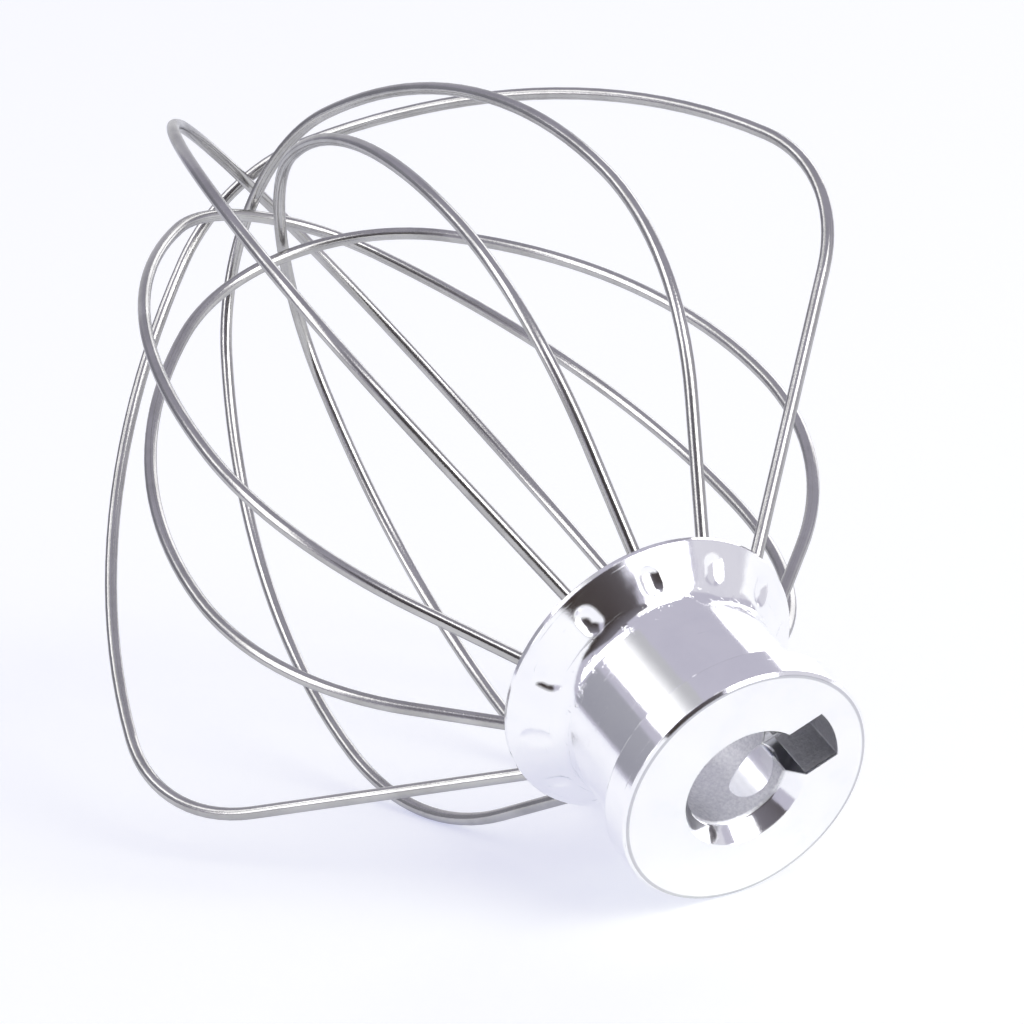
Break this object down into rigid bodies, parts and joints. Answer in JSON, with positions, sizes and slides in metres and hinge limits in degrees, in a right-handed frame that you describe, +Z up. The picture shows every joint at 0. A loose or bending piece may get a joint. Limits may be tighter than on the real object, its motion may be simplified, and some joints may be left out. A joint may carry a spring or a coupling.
{
  "type": "stand mixer wire whisk",
  "caption": "Wire whisk for a stand mixer: nested bent wire loops staked into a flared metal hub with a keyed drive bore, lying on its side.",
  "frame": {"origin": "on the table under the middle of the lying whisk's box", "axes": "+Z up from the table; +X from the hub towards the wire tips, with the hub's axis in the XZ plane and rising towards +X; +Y to the left of +X"},
  "size_m": [0.135, 0.0858, 0.0875],
  "materials": {
    "hub_metal": "polished",
    "wire_steel": "bright drawn wire"
  },
  "bodies": {
    "root": {"hub": "hub_metal", "wire_loop_1": "wire_steel", "wire_loop_2": "wire_steel", "wire_loop_3": "wire_steel", "wire_loop_4": "wire_steel", "wire_loop_5": "wire_steel", "wire_loop_6": "wire_steel"}
  },
  "joints": []
}
